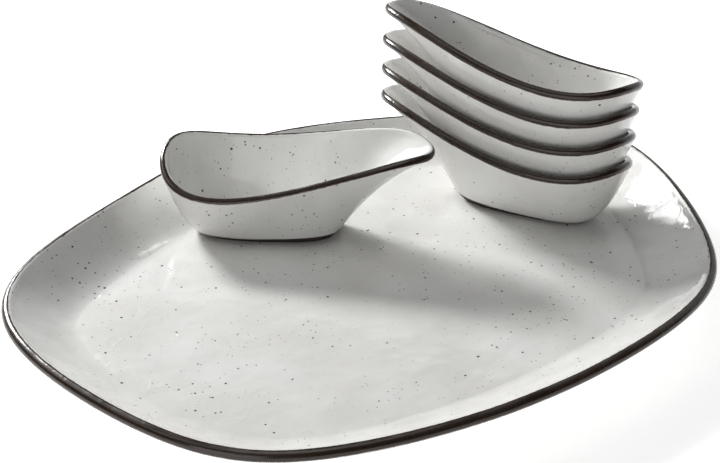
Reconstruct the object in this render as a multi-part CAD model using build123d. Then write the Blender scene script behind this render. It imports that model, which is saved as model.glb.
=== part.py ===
"""Chip and dip server in glazed stoneware: one large shallow platter and five matching dip bowls.

One bowl stands alone on the platter and four are nested in a stack beside it. Every piece is one
fired body with its dark rim band under the same glaze, so the server comes apart into six solids.

Frame: +Z up, origin on the table under the middle of the platter, +X along the platter's length.
A bowl's own frame has its origin on the surface it stands on, with +X towards the raised pouring tip.
"""

from build123d import *
import os
from math import cos, pi, sin, sqrt, tan

# Platter: stations round the outer edge of its rim, counter-clockwise from the right-hand end.
PLATTER_OUTLINE = [
    (219, 15), (171, 98), (79, 150), (-18, 166), (-115, 139), (-205, 83),
    (-213, -28), (-173, -116), (-85, -156), (19, -167), (115, -151), (179, -89),
]
PLATTER_WALL = 5.5  # thickness of wall and floor
PLATTER_RIM = 6.4  # thickness of the rolled rim
PLATTER_RIM_Z = 26.0  # height of the middle of the rolled rim
PLATTER_WALL_RUN = 37.0  # plan distance from the rim to the flat of the well
PLATTER_WALL_CURVE = 1.6  # 1 is a straight wall, more turns it up towards the rim
PLATTER_FOOT_H = 2.5  # height of the foot ring
PLATTER_FOOT_INSET = 56.0  # foot ring's outer edge, in from the rim's outer edge
PLATTER_FOOT_RING = 7.0

# Bowl: stations along the middle of its rolled rim, counter-clockwise from the tip, with heights.
BOWL_RIM_LINE = [
    (81.5, 0, 59), (66, 17, 61), (24, 32, 52), (-39, 41, 43), (-76, 29, 48),
    (-82, 0, 43), (-66, -24, 35), (-24, -30, 36), (39, -25, 52), (75, -15, 59),
]
BOWL_WALL = 4.4
BOWL_RIM = 5.2
BOWL_BASE_LENGTH = 85.5  # the edge where the wall turns into the base
BOWL_BASE_WIDTH = 37.0
BOWL_BASE_X = -18.0  # the base lies nearer the heel, so the tip overhangs
BOWL_BASE_SQUARENESS = 2.8  # exponent of the base's superellipse
BOWL_BASE_BLEND = 3.0  # plan distance, either side of that edge, over which the wall turns
BOWL_FOOT_H = 1.2
BOWL_FOOT_INSET = 0.6  # foot ring's outer edge, in from the base's edge
BOWL_FOOT_RING = 6.0
# Wall slope at the base against a straight wall, at the tip, left, heel and right: above 1 flares out
# towards the rim and below 1 bulges.
BOWL_STEEPNESS = [(1.6,), (0.6,), (0.16,), (0.85,)]

# Where the bowls stand: x, y and turn about Z.
SINGLE_BOWL = (-6.5, 74.4, -41.6)
BOTTOM_OF_STACK = (121.8, 26.4, 117.5)
# Each further bowl of the stack, in the frame of the bowl below: shift towards the tip, rise, then
# roll about X, tip-up tilt and turn.
STACK_STEPS = [(0.0, 18.6, 0.3, 0.2, 0.6), (0.8, 18.6, 0.4, 1.0, 0.4), (0.8, 18.8, 0.5, 1.4, 0.2)]

RING_POINTS = 32  # spline points in each section ring
STEP = 1e-4  # for finite differences


def closed_curve(stations, angle):
    """Point at that angle on the smooth closed curve through evenly spaced stations (an even number)."""
    n = len(stations)
    total = [0.0] * len(stations[0])
    for k, station in enumerate(stations):
        gap = (angle - 2 * pi * k / n + pi) % (2 * pi) - pi
        weight = 1.0 if abs(gap) < 1e-9 else sin(n * gap / 2) / (n * tan(gap / 2))
        total = [t + weight * s for t, s in zip(total, station)]
    return total


def power(value, exponent):
    """Signed power, as a superellipse needs."""
    return (1 if value >= 0 else -1) * abs(value) ** exponent


def platter_edge(angle, inset):
    """Point on the platter's outline in plan, moved square inwards by inset."""
    x, y = closed_curve(PLATTER_OUTLINE, angle)
    x2, y2 = closed_curve(PLATTER_OUTLINE, angle + STEP)
    length = sqrt((x2 - x) ** 2 + (y2 - y) ** 2)
    return x - inset * (y2 - y) / length, y + inset * (x2 - x) / length


def platter_middle(angle, out):
    """Middle of the platter's wall: out is 1 at the rim, 0 at the edge of the well, less in the well."""
    x, y = platter_edge(angle, PLATTER_RIM / 2 + PLATTER_WALL_RUN * (1 - out))
    floor = PLATTER_FOOT_H + PLATTER_WALL / 2
    return Vector(x, y, floor + (PLATTER_RIM_Z - floor) * max(out, 0.0) ** PLATTER_WALL_CURVE)


def bowl_base(angle, inset=0.0):
    """Point on the edge of a bowl's base in plan, moved inwards by inset."""
    x = (BOWL_BASE_LENGTH / 2 - inset) * power(cos(angle), 2 / BOWL_BASE_SQUARENESS)
    y = (BOWL_BASE_WIDTH / 2 - inset) * power(sin(angle), 2 / BOWL_BASE_SQUARENESS)
    return x + BOWL_BASE_X, y


def bowl_middle(angle, out):
    """Middle of a bowl's wall: out is 1 at the rim, 0 at the base's edge, -1 and less in its flat."""
    rim_x, rim_y, rim_z = closed_curve(BOWL_RIM_LINE, angle)
    base_x, base_y = bowl_base(angle)
    blend = BOWL_BASE_BLEND / sqrt((rim_x - base_x) ** 2 + (rim_y - base_y) ** 2)
    if out < 0:
        out = out * blend
    climb = out if out > blend else max(out + blend, 0.0) ** 2 / (4 * blend)
    steepness = closed_curve(BOWL_STEEPNESS, angle)[0]
    floor = BOWL_FOOT_H + BOWL_WALL / 2
    rise = (rim_z - floor) * (steepness * climb + (1 - steepness) * climb**2)
    return Vector(base_x + (rim_x - base_x) * out, base_y + (rim_y - base_y) * out, floor + rise)


def skin_point(middle, angle, out, offset, lift=0.0):
    """Point off the wall's middle: offset square to the wall, outwards, and lift along it, past the rim."""
    here = middle(angle, out)
    along = (here - middle(angle, out - STEP)).normalized()
    around = (middle(angle + STEP, out) - middle(angle - STEP, out)).normalized()
    square = around.cross(along).normalized()
    return here + square * offset + along * lift


def ring(point):
    """Closed smooth wire through one point for each angle."""
    points = [point(2 * pi * k / RING_POINTS) for k in range(RING_POINTS)]
    stops = [k / RING_POINTS for k in range(RING_POINTS + 1)]
    return Wire([Edge.make_spline(points, parameters=stops, periodic=True)])


def vessel(middle, wall, rim, foot, outer_stations, inner_stations):
    """Solid wall from the foot up the outside, over the rolled rim and down to the flat of the floor."""

    def skin(out, offset, lift=0.0):
        return ring(lambda angle: skin_point(middle, angle, out, offset, lift))

    roll = [skin(1.0, rim / 2 * cos(k * pi / 4), rim / 2 * sin(k * pi / 4)) for k in range(5)]
    outside = [foot[-1]] + [skin(out, wall / 2) for out in outer_stations] + [roll[0]]
    inside = [roll[-1]] + [skin(out, -wall / 2) for out in inner_stations]
    shells = [Shell.make_loft(foot, ruled=True)]
    shells += [Shell.make_loft(rings) for rings in (outside, roll, inside)]
    faces = [face for shell in shells for face in shell.faces()]
    return Solid(Shell(faces + [Face(foot[0]), Face(inside[-1])]))


def recess(outline, depth):
    """The hollow inside a foot ring: a shallow prism to cut away."""
    face = Face(ring(lambda angle: Vector(*outline(angle), 0)))
    return extrude(face, amount=depth, dir=(0, 0, 1))


def make_platter():
    """The platter: flat well, wall turned up to a rolled rim, and a foot ring underneath."""
    foot = [
        ring(lambda angle: Vector(*platter_edge(angle, PLATTER_FOOT_INSET), 0)),
        ring(lambda angle: Vector(*platter_edge(angle, PLATTER_FOOT_INSET - 1.5), PLATTER_FOOT_H)),
    ]
    outer = (0.05, 0.2, 0.35, 0.5, 0.65, 0.8, 0.92)
    inner = (0.92, 0.8, 0.65, 0.5, 0.35, 0.2, 0.08, 0.0, -0.04)
    body = vessel(platter_middle, PLATTER_WALL, PLATTER_RIM, foot, outer, inner)
    return body - recess(
        lambda angle: platter_edge(angle, PLATTER_FOOT_INSET + PLATTER_FOOT_RING), PLATTER_FOOT_H
    )


def make_bowl():
    """One dip bowl in its own frame: oval base, raised flaring tip, rounded heel, rolled rim."""
    foot = [
        ring(lambda angle: Vector(*bowl_base(angle, BOWL_FOOT_INSET + 0.3), 0)),
        ring(lambda angle: Vector(*bowl_base(angle, BOWL_FOOT_INSET), BOWL_FOOT_H)),
        ring(lambda angle: skin_point(bowl_middle, angle, 0.0, BOWL_WALL / 2)),
    ]
    outer = (0.1, 0.22, 0.35, 0.5, 0.65, 0.8, 0.92)
    inner = (0.92, 0.8, 0.65, 0.5, 0.35, 0.22, 0.12, 0.0, -0.6, -1.2, -1.8)
    body = vessel(bowl_middle, BOWL_WALL, BOWL_RIM, foot, outer, inner)
    return body - recess(lambda angle: bowl_base(angle, BOWL_FOOT_INSET + BOWL_FOOT_RING), BOWL_FOOT_H)


def bowl_places():
    """Where each bowl goes, by node name."""
    well = PLATTER_FOOT_H + PLATTER_WALL
    x, y, turn = SINGLE_BOWL
    places = {"single_dip_bowl": Location((x, y, well), (0, 0, turn))}
    x, y, turn = BOTTOM_OF_STACK
    place = Location((x, y, well), (0, 0, turn))
    places["stack_bowl_1"] = place
    for level, (shift, rise, roll, tilt, twist) in enumerate(STACK_STEPS, start=2):
        place = place * Location((shift, 0, rise), (roll, -tilt, twist))
        places[f"stack_bowl_{level}"] = place
    return places


os.makedirs("parts", exist_ok=True)
export_step(make_platter(), "parts/platter.step")
bowl = make_bowl()
for name, place in bowl_places().items():
    export_step(bowl.moved(place), f"parts/{name}.step")
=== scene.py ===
"""Looks of the chip and dip server: speckled off-white glaze with a dark rolled rim, on six pieces.

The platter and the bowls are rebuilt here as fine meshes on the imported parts' own outlines, with the
gentle unevenness of hand-pressed clay. Lengths are in metres, in the part's frame.
"""

import math

import bpy
import numpy as np
from mathutils import Matrix, Vector, noise


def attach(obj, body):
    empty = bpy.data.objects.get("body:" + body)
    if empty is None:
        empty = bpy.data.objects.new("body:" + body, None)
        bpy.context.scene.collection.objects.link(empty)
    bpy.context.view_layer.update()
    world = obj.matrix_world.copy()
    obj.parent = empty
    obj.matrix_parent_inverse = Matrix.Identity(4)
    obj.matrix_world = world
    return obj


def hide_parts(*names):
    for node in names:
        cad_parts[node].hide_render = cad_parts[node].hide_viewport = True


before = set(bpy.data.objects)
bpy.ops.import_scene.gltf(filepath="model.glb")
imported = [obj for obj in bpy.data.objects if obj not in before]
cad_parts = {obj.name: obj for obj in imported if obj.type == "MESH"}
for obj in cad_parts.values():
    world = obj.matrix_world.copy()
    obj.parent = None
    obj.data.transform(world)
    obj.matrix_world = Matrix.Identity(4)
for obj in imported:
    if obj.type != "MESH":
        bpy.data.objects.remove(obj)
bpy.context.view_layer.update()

MM = 0.001

# ---- Shape: the same driving dimensions as the part ---------------------------------------------

PLATTER_OUTLINE = np.array([
    (219, 15), (171, 98), (79, 150), (-18, 166), (-115, 139), (-205, 83),
    (-213, -28), (-173, -116), (-85, -156), (19, -167), (115, -151), (179, -89),
], float) * MM
PLATTER_WALL = 5.5 * MM
PLATTER_RIM = 6.4 * MM
PLATTER_RIM_Z = 26.0 * MM
PLATTER_WALL_RUN = 37.0 * MM
PLATTER_WALL_CURVE = 1.6
PLATTER_FOOT_H = 2.5 * MM
PLATTER_FOOT_INSET = 56.0 * MM
PLATTER_FOOT_RING = 7.0 * MM

BOWL_RIM_LINE = np.array([
    (81.5, 0, 59), (66, 17, 61), (24, 32, 52), (-39, 41, 43), (-76, 29, 48),
    (-82, 0, 43), (-66, -24, 35), (-24, -30, 36), (39, -25, 52), (75, -15, 59),
], float) * MM
BOWL_WALL = 4.4 * MM
BOWL_RIM = 5.2 * MM
BOWL_BASE_LENGTH = 85.5 * MM
BOWL_BASE_WIDTH = 37.0 * MM
BOWL_BASE_X = -18.0 * MM
BOWL_BASE_SQUARENESS = 2.8
BOWL_BASE_BLEND = 3.0 * MM
BOWL_FOOT_H = 1.2 * MM
BOWL_FOOT_INSET = 0.6 * MM
BOWL_FOOT_RING = 6.0 * MM
BOWL_STEEPNESS = np.array([(1.6,), (0.6,), (0.16,), (0.85,)])

SINGLE_BOWL = (-6.5, 74.4, -41.6)
BOTTOM_OF_STACK = (121.8, 26.4, 117.5)
STACK_STEPS = [(0.0, 18.6, 0.3, 0.2, 0.6), (0.8, 18.6, 0.4, 1.0, 0.4), (0.8, 18.8, 0.5, 1.4, 0.2)]

# ---- Colours: linear red, green, blue and alpha -------------------------------------------------

GLAZE_THIN = (0.74, 0.735, 0.71, 1)
GLAZE_THICK = (0.82, 0.818, 0.80, 1)
SPECK_FAINT = (0.17, 0.15, 0.13, 1)
SPECK_BROWN = (0.060, 0.048, 0.038, 1)
SPECK_DARK = (0.010, 0.008, 0.007, 1)
IRON_DARK = (0.008, 0.005, 0.003, 1)
IRON_BROWN = (0.036, 0.019, 0.010, 1)
# Partly worn iron, partly painted sheen: the lighter grey-brown on the inner half of the band.
IRON_WORN_AND_SHEEN = (0.085, 0.070, 0.060, 1)
IRON_RUST = (0.085, 0.034, 0.016, 1)
# Unglazed foot clay, made near black as painted shade: it stands for the contact shadow under each base.
CLAY_SHADE_DARK = (0.020, 0.013, 0.009, 1)
CLAY_SHADE_PALE = (0.040, 0.028, 0.020, 1)

# ---- Mesh: points round each ring ---------------------------------------------------------------

PLATTER_COLUMNS = 400
BOWL_COLUMNS = 220
WALL_TOP = 0.94  # share of the way along the wall, from the base, where the rolled rim takes over
STEP = 1e-4  # for finite differences, in radians or in shares of the wall


def closed_curve(stations, angles):
    """Points at those angles on the smooth closed curve through evenly spaced stations."""
    n = len(stations)
    gaps = angles[:, None] - 2 * np.pi * np.arange(n)[None] / n
    gaps = (gaps + np.pi) % (2 * np.pi) - np.pi
    on_station = np.abs(gaps) < 1e-9
    safe = np.where(on_station, 1.0, gaps)
    weights = np.where(on_station, 1.0, np.sin(n * safe / 2) / (n * np.tan(safe / 2)))
    return weights @ stations


def power(values, exponent):
    """Signed power, as a superellipse needs."""
    return np.sign(values) * np.abs(values) ** exponent


def unit(vectors):
    """The vectors, each made one long."""
    return vectors / np.linalg.norm(vectors, axis=1)[:, None]


def platter_edge(angles, inset):
    """The platter's outline in plan, moved square inwards by inset."""
    here = closed_curve(PLATTER_OUTLINE, angles)
    along = unit(closed_curve(PLATTER_OUTLINE, angles + STEP) - here)
    return here + inset * np.stack([-along[:, 1], along[:, 0]], 1)


def platter_middle(angles, out):
    """Middle of the platter's wall: out is 1 at the rim, 0 at the edge of the well."""
    plan = platter_edge(angles, PLATTER_RIM / 2 + PLATTER_WALL_RUN * (1 - out))
    floor = PLATTER_FOOT_H + PLATTER_WALL / 2
    height = floor + (PLATTER_RIM_Z - floor) * max(out, 0.0) ** PLATTER_WALL_CURVE
    return np.column_stack([plan, np.full(len(angles), height)])


def platter_foot(angles, inset):
    """The outer edge of the platter's foot ring in plan, moved inwards by inset."""
    return platter_edge(angles, PLATTER_FOOT_INSET + inset)


def bowl_base(angles, inset=0.0):
    """The edge of a bowl's base in plan, moved inwards by inset."""
    x = (BOWL_BASE_LENGTH / 2 - inset) * power(np.cos(angles), 2 / BOWL_BASE_SQUARENESS)
    y = (BOWL_BASE_WIDTH / 2 - inset) * power(np.sin(angles), 2 / BOWL_BASE_SQUARENESS)
    return np.column_stack([x + BOWL_BASE_X, y])


def bowl_foot(angles, inset):
    """The outer edge of a bowl's foot ring in plan, moved inwards by inset."""
    return bowl_base(angles, BOWL_FOOT_INSET + inset)


def bowl_middle(angles, out):
    """Middle of a bowl's wall: out is 1 at the rim, 0 at the base's edge, -1 and less in its flat."""
    rim = closed_curve(BOWL_RIM_LINE, angles)
    base = bowl_base(angles)
    blend = BOWL_BASE_BLEND / np.linalg.norm(rim[:, :2] - base, axis=1)
    out = out * blend if out < 0 else np.full(len(angles), out)
    climb = np.where(out > blend, out, np.maximum(out + blend, 0.0) ** 2 / (4 * blend))
    steepness = closed_curve(BOWL_STEEPNESS, angles)[:, 0]
    floor = BOWL_FOOT_H + BOWL_WALL / 2
    rise = (rim[:, 2] - floor) * (steepness * climb + (1 - steepness) * climb**2)
    plan = base + (rim[:, :2] - base) * out[:, None]
    return np.column_stack([plan, floor + rise])


def skin_points(middle, angles, out, offset, lift=0.0):
    """Points off the wall's middle: offset square to the wall, outwards, and lift past the rim."""
    here = middle(angles, out)
    along = unit(here - middle(angles, out - STEP))
    around = unit(middle(angles + STEP, out) - middle(angles - STEP, out))
    square = unit(np.cross(around, along))
    return here + square * offset + along * lift


def flat_rings(outline, insets, height):
    """Level rings on an outline moved inwards."""
    return [np.column_stack([outline(inset), np.full(len(outline(inset)), height)]) for inset in insets]


def rings_to_middle(ring, shares):
    """Rings that shrink from the given one to its middle, level with it."""
    middle = ring.mean(axis=0)
    return [middle + (ring - middle) * share for share in shares]


class Profile:
    """The rings of one vessel, from the middle of its underside to the middle of its floor."""

    def __init__(self, middle, foot, columns, wall, rim, foot_h, foot_ring,
                 lowest_outside, lowest_inside):
        angles = 2 * np.pi * np.arange(columns) / columns
        half = wall / 2

        def foot_edge(inset):
            return foot(angles, inset)

        recess = flat_rings(foot_edge, [foot_ring + 0.8 * MM], foot_h)
        under = rings_to_middle(recess[0], [0.04, 0.15, 0.3, 0.45, 0.6, 0.75, 0.88, 0.96])
        inner_foot = flat_rings(foot_edge, [foot_ring + 0.3 * MM], foot_h - 0.2 * MM)
        inner_foot += flat_rings(foot_edge, [foot_ring], 0.5 * MM)
        bottom = flat_rings(foot_edge, [foot_ring - 0.5 * MM, foot_ring / 2, 1.4 * MM], 0.0)
        outer_foot = flat_rings(foot_edge, [0.4 * MM], 0.15 * MM)
        outer_foot += flat_rings(foot_edge, [0.2 * MM], foot_h * 0.5)
        outer_foot += flat_rings(foot_edge, [0.1 * MM], foot_h * 0.85)
        under_wall = np.linspace(lowest_outside, 0, 8)[:-1]
        outside = [
            skin_points(middle, angles, out, half)
            for out in np.concatenate([under_wall, np.linspace(0.0, WALL_TOP, 40)])
        ]
        turns = np.linspace(0, np.pi, 17)
        roll = [
            skin_points(middle, angles, 1.0, rim / 2 * math.cos(t), rim / 2 * math.sin(t)) for t in turns
        ]
        over_floor = np.linspace(0.0, lowest_inside, 12)[1:]
        inside = [
            skin_points(middle, angles, out, -half)
            for out in np.concatenate([np.linspace(WALL_TOP, 0.0, 44), over_floor])
        ]
        well = rings_to_middle(inside[-1], np.linspace(0.96, 0.04, 24))
        before_roll = under + recess + inner_foot + bottom + outer_foot + outside
        self.rings = np.array(before_roll + roll + inside + well)
        self.crest = len(before_roll) + len(roll) // 2
        first = len(under) + len(recess) + 1
        shade_rows_above = len(under_wall) + 2  # the clay colour runs two rows up the outside wall, painted shade for the dark line under the base
        last = first + len(inner_foot) - 1 + len(bottom) + len(outer_foot) + shade_rows_above
        self.foot_rows = range(first, last)

    def normals(self):
        """Outward normals of the ring points."""
        along = np.gradient(self.rings, axis=0)
        around = np.roll(self.rings, -1, axis=1) - np.roll(self.rings, 1, axis=1)
        square = np.cross(around, along)
        return square / np.maximum(np.linalg.norm(square, axis=2), 1e-12)[..., None]

    def rim_distance(self):
        """Length along the wall from the crest of the rim: positive outside, negative inside."""
        steps = np.linalg.norm(np.diff(self.rings, axis=0), axis=2)
        length = np.concatenate([np.zeros((1, steps.shape[1])), np.cumsum(steps, axis=0)])
        return length[self.crest][None] - length


def unevenness(points, size, seed):
    """Smooth noise between about -1 and 1 at each point."""
    shift = Vector((seed * 3.1, seed * 1.7, seed * 2.3))
    flat = points.reshape(-1, 3)
    values = [noise.noise(Vector(point) / size + shift) for point in flat]
    return np.array(values).reshape(points.shape[:2])


def hand_pressed(profile, seed, waves, keep_off_foot):
    """Ring points moved along their normals by gentle waves, none at the foot and little at the rim."""
    rings = profile.rings
    edge = profile.rim_distance()
    calm_rim = np.clip((np.abs(edge) - 4 * MM) / (10 * MM), 0, 1)
    off_foot = np.clip((rings[..., 2] - keep_off_foot) / (3 * MM), 0, 1)
    inside = edge < 0
    amount = calm_rim * np.where(inside, 1.0, off_foot)
    moves = sum(height * unevenness(rings, size, seed + k) for k, (size, height) in enumerate(waves))
    return rings + profile.normals() * (moves * amount)[..., None]


def vessel_mesh(name, profile, rings):
    """A closed mesh through the rings, with the rim distance and the unglazed foot with its painted shade
    kept on its points.
    """
    rows, columns = rings.shape[:2]
    mesh = bpy.data.meshes.new(name)
    points = np.concatenate([rings.reshape(-1, 3), [rings[0].mean(axis=0), rings[-1].mean(axis=0)]])
    faces = []
    for row in range(rows - 1):
        for column in range(columns):
            after = (column + 1) % columns
            low, high = row * columns, (row + 1) * columns
            faces.append((low + column, low + after, high + after, high + column))
    under, top = rows * columns, rows * columns + 1
    last = (rows - 1) * columns
    for column in range(columns):
        after = (column + 1) % columns
        faces.append((after, column, under))
        faces.append((last + column, last + after, top))
    mesh.from_pydata(points.tolist(), [], faces)
    edge = profile.rim_distance()
    bare_and_shade = np.zeros((rows, columns))
    bare_and_shade[list(profile.foot_rows)] = 1.0
    for label, values in (("rim_distance", edge), ("bare_clay_and_shade", bare_and_shade)):
        flat = np.concatenate([values.ravel(), [values[0].mean(), values[-1].mean()]])
        mesh.attributes.new(label, "FLOAT", "POINT").data.foreach_set("value", flat.astype(np.float32))
    mesh.polygons.foreach_set("use_smooth", [True] * len(faces))
    mesh.update()
    return mesh


def add_piece(name, mesh, node, body, material):
    """An object of that mesh that stands for a node and rides on a body."""
    piece = bpy.data.objects.new(name, mesh)
    bpy.context.scene.collection.objects.link(piece)
    mesh.materials.append(material)
    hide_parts(node)
    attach(piece, body)
    return piece


# ---- Materials ----------------------------------------------------------------------------------


class Nodes:
    """Short calls for building one material's node tree."""

    def __init__(self, name):
        self.material = bpy.data.materials.new(name)
        self.material.use_nodes = True
        self.tree = self.material.node_tree
        self.shader = self.tree.nodes["Principled BSDF"]

    def _plug(self, socket, value):
        if isinstance(value, bpy.types.NodeSocket):
            self.tree.links.new(value, socket)
        elif value is not None:
            socket.default_value = value

    def add(self, kind, inputs=(), **settings):
        node = self.tree.nodes.new(kind)
        for key, value in settings.items():
            setattr(node, key, value)
        for key, value in dict(inputs).items():
            self._plug(node.inputs[key], value)
        return node

    def math(self, operation, a, b=None, clamp=False):
        node = self.add("ShaderNodeMath", operation=operation, use_clamp=clamp)
        self._plug(node.inputs[0], a)
        self._plug(node.inputs[1], b)
        return node.outputs[0]

    def ramp(self, value, low, high, to_low=0.0, to_high=1.0):
        """Value mapped from low..high to to_low..to_high with soft ends."""
        node = self.add("ShaderNodeMapRange", interpolation_type="SMOOTHSTEP")
        for index, number in enumerate((value, low, high, to_low, to_high)):
            self._plug(node.inputs[index], number)
        return node.outputs[0]

    def mix(self, share, a, b):
        node = self.add("ShaderNodeMix", data_type="RGBA")
        self._plug(node.inputs[0], share)
        self._plug(node.inputs[6], a)
        self._plug(node.inputs[7], b)
        return node.outputs[2]

    def noise(self, vector, scale, detail=2.0, roughness=0.5):
        node = self.add("ShaderNodeTexNoise", {"Vector": vector, "Scale": scale, "Detail": detail,
                                               "Roughness": roughness})
        return node.outputs["Fac"]

    def attribute(self, name):
        return self.add("ShaderNodeAttribute", attribute_name=name).outputs["Fac"]


def specks(nodes, where, spacing, smallest, largest, share):
    """0 to 1 mask of round specks: cells of that spacing, of which a share holds one of random size."""
    cell = nodes.add("ShaderNodeTexVoronoi", {"Vector": where, "Scale": 1 / spacing, "Randomness": 1.0})
    channels = nodes.add("ShaderNodeSeparateColor", {"Color": cell.outputs["Color"]})
    chosen = nodes.math("LESS_THAN", channels.outputs[0], share)
    radius = nodes.ramp(channels.outputs[1], 0.0, 1.0, smallest / spacing, largest / spacing)
    inner = nodes.math("MULTIPLY", radius, 0.72)
    dot = nodes.ramp(cell.outputs["Distance"], inner, radius, 1.0, 0.0)
    return nodes.math("MULTIPLY", dot, chosen)


def speckled_glaze(nodes, where):
    """Cloudy off-white glaze with iron specks of three sizes, thicker in loose clusters."""
    cloud = nodes.noise(where, 18.0, 4.0, 0.6)
    glaze = nodes.mix(nodes.ramp(cloud, 0.3, 0.7), GLAZE_THIN, GLAZE_THICK)
    near = nodes.ramp(nodes.noise(where, 30.0, 2.0), 0.40, 0.62)
    fine = specks(nodes, where, 3.0 * MM, 0.30 * MM, 0.65 * MM, 0.40)
    medium = specks(nodes, where, 4.4 * MM, 0.40 * MM, 0.80 * MM, 0.52)
    strong = specks(nodes, where, 8.2 * MM, 0.55 * MM, 0.95 * MM, 0.54)
    faint = nodes.math("MULTIPLY", fine, nodes.ramp(near, 0.0, 1.0, 0.08, 0.6))
    brown = nodes.math("MULTIPLY", medium, nodes.ramp(near, 0.0, 1.0, 0.2, 1.0))
    glaze = nodes.mix(faint, glaze, SPECK_FAINT)
    glaze = nodes.mix(brown, glaze, SPECK_BROWN)
    return nodes.mix(nodes.math("MULTIPLY", strong, 0.9), glaze, SPECK_DARK)


def rim_band(nodes, where, inside_band, outside_band):
    """How far each point is into the iron band, and the band's colour across the rim, with painted sheen
    on its inner half.
    """
    ragged = nodes.math("SUBTRACT", nodes.noise(where, 240.0, 4.0, 0.6), 0.5)
    drift = nodes.math("SUBTRACT", nodes.noise(where, 26.0, 2.0), 0.5)
    across = nodes.attribute("rim_distance")
    across = nodes.math("ADD", across, nodes.math("MULTIPLY", ragged, 1.2 * MM))
    across = nodes.math("ADD", across, nodes.math("MULTIPLY", drift, 1.6 * MM))
    below = nodes.ramp(across, outside_band - 0.4 * MM, outside_band + 0.5 * MM, 1.0, 0.0)
    above = nodes.ramp(across, -inside_band - 0.3 * MM, -inside_band + 0.3 * MM)
    band = nodes.math("MULTIPLY", below, above)
    streak = nodes.noise(where, 260.0, 3.0, 0.65)
    iron = nodes.mix(streak, IRON_DARK, IRON_BROWN)
    # Lighter patches on the inner half of the band: partly wear, partly painted sheen of the glossy rim.
    worn_and_sheen = nodes.ramp(across, -inside_band + 0.5 * MM, -inside_band + 1.4 * MM)
    worn_and_sheen = nodes.math("MULTIPLY", worn_and_sheen, nodes.ramp(across, -2.5 * MM, 0.8 * MM, 1.0, 0.0))
    patches = nodes.ramp(nodes.noise(where, 60.0, 4.0, 0.7), 0.30, 0.70, 0.35, 1.0)
    worn_and_sheen = nodes.math("MULTIPLY", worn_and_sheen, patches)
    iron = nodes.mix(worn_and_sheen, iron, IRON_WORN_AND_SHEEN)
    rust = nodes.ramp(across, outside_band - 1.2 * MM, outside_band - 0.1 * MM, 0.0, 0.75)
    return band, nodes.mix(rust, iron, IRON_RUST)


def brush_strokes(nodes, where):
    """Low swirled ridges in patches, as a glazing brush leaves them."""
    swirl = nodes.math("ABSOLUTE", nodes.math("SUBTRACT", nodes.noise(where, 26.0, 3.0), 0.5))
    ridge = nodes.ramp(swirl, 0.0, 0.016, 0.09, 0.0)
    return nodes.math("MULTIPLY", ridge, nodes.ramp(nodes.noise(where, 14.0, 1.0), 0.48, 0.58))


def stoneware(name, inside_band, outside_band):
    """Glossy speckled off-white glaze, a dark iron band over the rim, and unglazed clay under the foot,
    darkened to near black as painted shade.
    """
    nodes = Nodes(name)
    where = nodes.add("ShaderNodeTexCoord").outputs["Object"]
    glaze = speckled_glaze(nodes, where)
    band, iron = rim_band(nodes, where, inside_band, outside_band)
    # Near-black clay on the foot and the rows just above it is painted shade, the dark line under each
    # base.
    bare_and_shade = nodes.ramp(nodes.attribute("bare_clay_and_shade"), 0.3, 0.9)
    clay = nodes.mix(nodes.noise(where, 900.0, 2.0), CLAY_SHADE_DARK, CLAY_SHADE_PALE)
    colour = nodes.mix(bare_and_shade, nodes.mix(band, glaze, iron), clay)
    nodes.tree.links.new(colour, nodes.shader.inputs["Base Color"])

    satin = nodes.ramp(nodes.noise(where, 60.0, 3.0), 0.3, 0.7, 0.08, 0.17)
    rough = nodes.math("ADD", satin, nodes.math("MULTIPLY", band, 0.13))
    rough = nodes.math("ADD", rough, nodes.math("MULTIPLY", bare_and_shade, 0.6), clamp=True)
    nodes.tree.links.new(rough, nodes.shader.inputs["Roughness"])

    ripple = nodes.noise(where, 70.0, 2.0, 0.45)
    pits = nodes.math("MULTIPLY", nodes.noise(where, 520.0, 2.0), 0.05)
    height = nodes.math("ADD", nodes.math("ADD", ripple, pits), brush_strokes(nodes, where))
    bump = nodes.add("ShaderNodeBump", {"Strength": 0.5, "Distance": 1.2 * MM, "Height": height})
    nodes.tree.links.new(bump.outputs["Normal"], nodes.shader.inputs["Normal"])
    nodes.shader.inputs["IOR"].default_value = 1.46
    nodes.shader.inputs["Coat Weight"].default_value = 0.15
    nodes.shader.inputs["Coat Roughness"].default_value = 0.03
    return nodes.material


# ---- Pieces -------------------------------------------------------------------------------------


def bowl_matrix(x, y, z, turn):
    """Matrix that stands a bowl at x, y, z with that turn about Z."""
    return Matrix.Translation((x * MM, y * MM, z)) @ Matrix.Rotation(math.radians(turn), 4, "Z")


def bowl_places():
    """Matrix of each bowl, by node."""
    well = PLATTER_FOOT_H + PLATTER_WALL
    places = {"single_dip_bowl": bowl_matrix(SINGLE_BOWL[0], SINGLE_BOWL[1], well, SINGLE_BOWL[2])}
    place = bowl_matrix(BOTTOM_OF_STACK[0], BOTTOM_OF_STACK[1], well, BOTTOM_OF_STACK[2])
    places["stack_bowl_1"] = place
    for level, (shift, rise, roll, tilt, twist) in enumerate(STACK_STEPS, start=2):
        turn = [math.radians(angle) for angle in (roll, -tilt, twist)]
        step = Matrix.Translation((shift * MM, 0, rise * MM))
        for axis, angle in zip("XYZ", turn):
            step = step @ Matrix.Rotation(angle, 4, axis)
        place = place @ step
        places[f"stack_bowl_{level}"] = place
    return places


def make_platter():
    """The platter, on its own body."""
    profile = Profile(
        platter_middle, platter_foot, PLATTER_COLUMNS, PLATTER_WALL, PLATTER_RIM,
        PLATTER_FOOT_H, PLATTER_FOOT_RING, lowest_outside=-0.03, lowest_inside=-0.1,
    )
    waves = [(70 * MM, 0.5 * MM), (30 * MM, 0.50 * MM), (14 * MM, 0.17 * MM)]
    rings = hand_pressed(profile, 1, waves, PLATTER_FOOT_H)
    mesh = vessel_mesh("platter_glazed", profile, rings)
    material = stoneware("platter_glaze", inside_band=3.7 * MM, outside_band=3.6 * MM)
    add_piece("platter_glazed", mesh, "platter", "platter", material)


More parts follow.
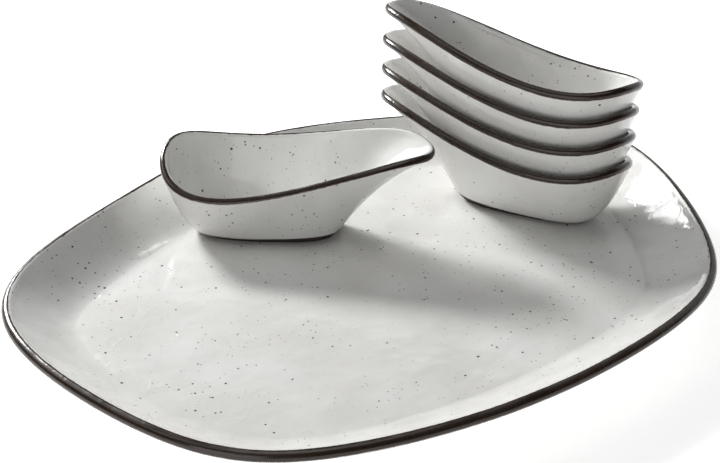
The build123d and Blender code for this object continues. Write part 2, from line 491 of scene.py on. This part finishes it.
def make_bowls():
    """The five bowls: one shape, each with its own unevenness and place."""
    profile = Profile(
        bowl_middle, bowl_foot, BOWL_COLUMNS, BOWL_WALL, BOWL_RIM,
        BOWL_FOOT_H, BOWL_FOOT_RING, lowest_outside=-0.1, lowest_inside=-1.8,
    )
    single = stoneware("single_bowl_glaze", inside_band=1.9 * MM, outside_band=3.2 * MM)
    stacked = stoneware("stack_bowl_glaze", inside_band=2.4 * MM, outside_band=4.8 * MM)
    for seed, (node, place) in enumerate(bowl_places().items(), start=5):
        rings = hand_pressed(profile, seed, [(26 * MM, 0.24 * MM), (10 * MM, 0.09 * MM)], BOWL_FOOT_H)
        mesh = vessel_mesh(f"{node}_glazed", profile, rings)
        mesh.transform(place)
        add_piece(f"{node}_glazed", mesh, node, node, single if node == "single_dip_bowl" else stacked)


# ---- Studio -------------------------------------------------------------------------------------

CAMERA_AT = np.array((-491.5, -580.2, 475.1)) * MM
CAMERA_LOOKS = Vector((0.5336, 0.6829, -0.4989))
FOCAL = 74.69  # mm on a 36 mm sensor
SHIFT_X = 0.0415
FLOOR_HALF = 10.0
FLOOR_Z = -0.2 * MM  # just under the foot ring, so the two do not share a plane
LIGHTS_AIM = (0.05, 0.03, 0.05)  # near the middle of the server
WORLD_GLOW = 0.04
# Each softbox's name, place, width, depth and watts.
SOFTBOXES = [
    ("key", (-0.07, 1.17, 0.66), 0.26, 0.26, 19.6),
    ("glint", (0.25, 1.75, 1.0), 0.5, 0.5, 9.5),
    ("crest", (-0.55, 0.80, 0.80), 0.5, 0.5, 1.2),
    ("window", (-0.80, 0.25, 1.0), 0.3, 0.7, 0.8),
    ("top", (0.0, 0.0, 1.4), 0.8, 0.8, 2.7),
    ("right", (1.3, 0.1, 0.5), 1.6, 1.0, 2.6),
    ("front_left", (-1.1, -0.5, 0.35), 0.8, 0.8, 3.6),
]


def make_camera():
    """A longish lens, looking down from the front left."""
    data = bpy.data.cameras.new("camera")
    data.lens = FOCAL
    data.sensor_width = 36.0
    data.shift_x = SHIFT_X
    data.clip_start = 0.05
    camera = bpy.data.objects.new("camera", data)
    camera.location = CAMERA_AT
    camera.rotation_euler = CAMERA_LOOKS.to_track_quat("-Z", "Y").to_euler()
    bpy.context.scene.collection.objects.link(camera)
    bpy.context.scene.camera = camera


def softbox(name, place, width, depth, watts):
    """A rectangular area light aimed at the middle of the server."""
    data = bpy.data.lights.new(name, "AREA")
    data.shape = "RECTANGLE"
    data.size, data.size_y, data.energy = width, depth, watts
    light = bpy.data.objects.new(name, data)
    light.location = place
    aim = Vector(LIGHTS_AIM) - Vector(place)
    light.rotation_euler = aim.to_track_quat("-Z", "Y").to_euler()
    bpy.context.scene.collection.objects.link(light)


def make_floor():
    """A plain pale floor with a glow of its own, so that it stays pale away from the lights."""
    nodes = Nodes("paper_floor")
    grain = nodes.noise(nodes.add("ShaderNodeTexCoord").outputs["Object"], 40.0, 3.0)
    nodes.tree.links.new(nodes.mix(grain, (0.86, 0.86, 0.86, 1), (0.89, 0.89, 0.89, 1)),
                         nodes.shader.inputs["Base Color"])
    nodes.shader.inputs["Roughness"].default_value = 0.8
    nodes.shader.inputs["Emission Color"].default_value = (1.0, 1.0, 1.0, 1)
    nodes.shader.inputs["Emission Strength"].default_value = 0.6
    mesh = bpy.data.meshes.new("floor")
    corners = [(x * FLOOR_HALF, y * FLOOR_HALF, FLOOR_Z) for x, y in ((-1, -1), (1, -1), (1, 1), (-1, 1))]
    mesh.from_pydata(corners, [], [(0, 1, 2, 3)])
    mesh.materials.append(nodes.material)
    floor = bpy.data.objects.new("floor", mesh)
    bpy.context.scene.collection.objects.link(floor)


def make_studio():
    """Camera, floor, softboxes and a faint even glow from all round."""
    make_camera()
    make_floor()
    for name, place, width, depth, watts in SOFTBOXES:
        softbox(name, place, width, depth, watts)
    world = bpy.data.worlds.new("studio")
    bpy.context.scene.world = world
    world.use_nodes = True
    background = world.node_tree.nodes["Background"]
    background.inputs["Color"].default_value = (1.0, 1.0, 1.0, 1)
    background.inputs["Strength"].default_value = WORLD_GLOW
    bpy.context.scene.view_settings.view_transform = "Standard"


make_platter()
make_bowls()
make_studio()
